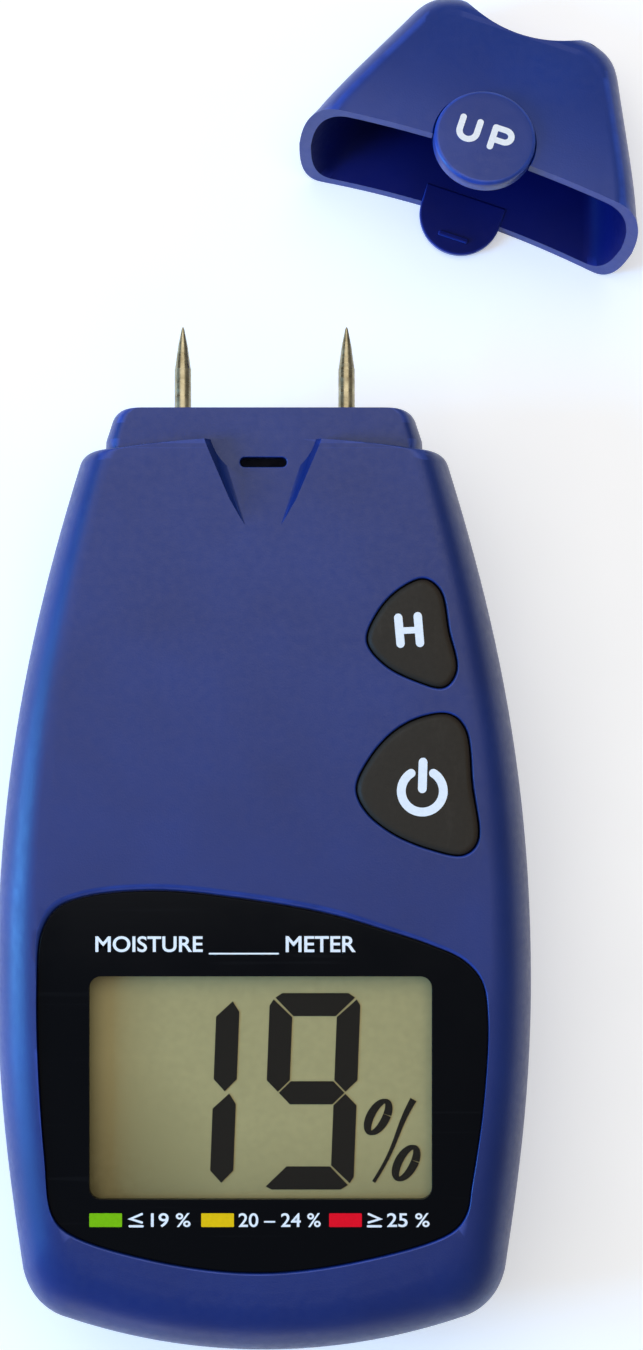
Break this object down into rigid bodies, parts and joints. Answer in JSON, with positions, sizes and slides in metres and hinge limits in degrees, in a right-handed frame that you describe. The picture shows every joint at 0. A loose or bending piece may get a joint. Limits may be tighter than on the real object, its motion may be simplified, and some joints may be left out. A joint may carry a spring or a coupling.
{
  "type": "moisture meter",
  "caption": "Hand-held pin-type wood moisture meter with a digital display, rubber keys, measuring pins, a battery door and a pull-off pin cap lying beside it.",
  "frame": {"origin": "on the flat back face of the rear shell, on the centreline, just above the battery door", "axes": "+X across the meter to the right of the display, +Y along the meter towards the pins, +Z out of the display face"},
  "size_m": [0.087, 0.1846, 0.0305],
  "materials": {
    "case_blue": "fine spark-eroded texture, violet-blue",
    "key_rubber": "matt dark brown",
    "lens_black": "gloss black",
    "clear_pane": "clear moulded acrylic",
    "lcd_glass": "olive-grey liquid crystal panel",
    "frame_plastic": "grey, moulded",
    "circuit_board": "green solder mask",
    "chip_plastic": "black moulding compound",
    "pin_steel": "turned steel, slightly tarnished",
    "brass": "turned",
    "zinc": "zinc plated",
    "carbon_rubber": "carbon-filled rubber",
    "battery_jacket": "printed foil jacket",
    "snap_vinyl": "black vinyl",
    "wire_red": "red insulation",
    "wire_black": "black insulation"
  },
  "bodies": {
    "root": {"front_shell": "case_blue", "rear_shell": "case_blue", "door_hinge_pin": "zinc", "lens_mask": "lens_black", "display_window": "clear_pane", "lcd_frame": "frame_plastic", "lcd_panel": "lcd_glass", "zebra_strip_lower": "carbon_rubber", "zebra_strip_upper": "carbon_rubber", "main_board": "circuit_board", "measuring_chip": "chip_plastic", "crystal": "zinc", "capacitor": "chip_plastic", "keypad_mat": "key_rubber", "left_pin": "pin_steel", "left_pin_socket": "brass", "left_pin_lug": "zinc", "left_pin_lead": "wire_black", "right_pin": "pin_steel", "right_pin_socket": "brass", "right_pin_lug": "zinc", "right_pin_lead": "wire_black", "battery": "battery_jacket", "battery_snap": "snap_vinyl", "battery_lead_red": "wire_red", "battery_lead_black": "wire_black", "case_screw_1": "zinc", "case_screw_2": "zinc", "case_screw_3": "zinc", "case_screw_4": "zinc", "board_screw_1": "zinc", "board_screw_2": "zinc", "board_screw_3": "zinc", "board_screw_4": "zinc"},
    "battery_door": {"battery_door": "case_blue"},
    "hold_key": {"hold_key": "key_rubber", "hold_key_contact": "carbon_rubber"},
    "power_key": {"power_key": "key_rubber", "power_key_contact": "carbon_rubber"},
    "cap_pad": {"cap_thumb_pad": "case_blue"},
    "cap": {"cap_shell": "case_blue"}
  },
  "joints": [
    {"name": "hold_key_press", "type": "slide", "parent": "root", "child": "hold_key", "axis": [0, 0, -1], "range_m": [0, 0.0007], "stiffness_N_per_m": 600},
    {"name": "power_key_press", "type": "slide", "parent": "root", "child": "power_key", "axis": [0, 0, -1], "range_m": [0, 0.0007], "stiffness_N_per_m": 600},
    {"name": "battery_door_hinge", "type": "hinge", "parent": "root", "child": "battery_door", "pos_m": [0, -0.0584, 0.0015], "axis": [-1, 0, 0], "range_deg": [0, 90]},
    {"name": "cap_swing", "type": "hinge", "parent": "root", "child": "cap_pad", "pos_m": [0.04015, 0.05509, 0.02139], "axis": [0.2102, 0.0699, 0.9752], "range_deg": [0, 75]},
    {"name": "cap_turn", "type": "hinge", "parent": "cap_pad", "child": "cap", "pos_m": [0.0297, 0.0948, 0.02079], "axis": [0.0844, 0.2536, 0.9636], "range_deg": [-55.22, 0]}
  ],
  "couplings": [
    {"joint": "cap_turn", "follows": "cap_swing", "ratio": -0.73616}
  ]
}
